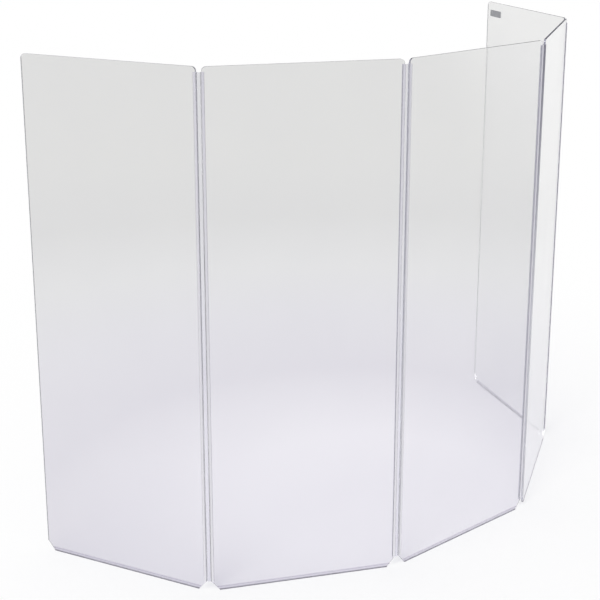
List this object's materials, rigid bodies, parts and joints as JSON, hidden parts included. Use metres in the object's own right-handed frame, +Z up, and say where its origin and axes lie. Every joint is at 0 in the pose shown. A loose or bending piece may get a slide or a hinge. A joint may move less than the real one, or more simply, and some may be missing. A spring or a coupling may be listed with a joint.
{
  "type": "drum shield",
  "caption": "Free-standing folding screen of clear upright panels joined edge to edge by full-length clear hinge strips, set in an arc to shield a drum kit's sound.",
  "frame": {"origin": "on the floor, at the centre of the middle panel's bottom edge", "axes": "+Z up; +X along the middle panel to the right as the audience sees it; +Y from the middle panel towards the drum kit, so the audience side is -Y"},
  "size_m": [2.1998, 0.9153, 1.6764],
  "materials": {
    "acrylic": "clear polished sheet",
    "stiff_vinyl": "clear extruded vinyl, slightly violet",
    "soft_vinyl": "clear soft vinyl"
  },
  "bodies": {
    "panel_1": {"panel_1": "acrylic", "hinge_1_left_channel": "stiff_vinyl"},
    "web_1": {"hinge_1_web": "soft_vinyl"},
    "panel_2": {"hinge_1_right_channel": "stiff_vinyl", "panel_2": "acrylic", "hinge_2_left_channel": "stiff_vinyl"},
    "web_2": {"hinge_2_web": "soft_vinyl"},
    "panel_3": {"hinge_2_right_channel": "stiff_vinyl", "panel_3": "acrylic", "hinge_3_left_channel": "stiff_vinyl"},
    "web_3": {"hinge_3_web": "soft_vinyl"},
    "panel_4": {"hinge_3_right_channel": "stiff_vinyl", "panel_4": "acrylic", "hinge_4_left_channel": "stiff_vinyl"},
    "web_4": {"hinge_4_web": "soft_vinyl"},
    "panel_5": {"hinge_4_right_channel": "stiff_vinyl", "panel_5": "acrylic"}
  },
  "joints": [
    {"name": "hinge_2_right_flex", "type": "hinge", "parent": "panel_3", "child": "web_2", "pos_m": [-0.3077, 0, 0], "axis": [0, 0, 1], "range_deg": [-77, 103]},
    {"name": "hinge_2_left_flex", "type": "hinge", "parent": "web_2", "child": "panel_2", "pos_m": [-0.31822, 0.00243, 0], "axis": [0, 0, 1], "range_deg": [-77, 103]},
    {"name": "hinge_1_right_flex", "type": "hinge", "parent": "panel_2", "child": "web_1", "pos_m": [-0.87134, 0.2722, 0], "axis": [0, 0, -1], "range_deg": [-110, 70]},
    {"name": "hinge_1_left_flex", "type": "hinge", "parent": "web_1", "child": "panel_1", "pos_m": [-0.87884, 0.27997, 0], "axis": [0, 0, -1], "range_deg": [-110, 70]},
    {"name": "hinge_3_left_flex", "type": "hinge", "parent": "panel_3", "child": "web_3", "pos_m": [0.3077, 0, 0], "axis": [0, 0, 1], "range_deg": [-106, 74]},
    {"name": "hinge_3_right_flex", "type": "hinge", "parent": "web_3", "child": "panel_4", "pos_m": [0.31808, 0.00298, 0], "axis": [0, 0, 1], "range_deg": [-106, 74]},
    {"name": "hinge_4_left_flex", "type": "hinge", "parent": "panel_4", "child": "web_4", "pos_m": [0.83997, 0.32909, 0], "axis": [0, 0, -1], "range_deg": [-71.5, 108.5]},
    {"name": "hinge_4_right_flex", "type": "hinge", "parent": "web_4", "child": "panel_5", "pos_m": [0.84684, 0.33742, 0], "axis": [0, 0, -1], "range_deg": [-71.5, 108.5]}
  ]
}
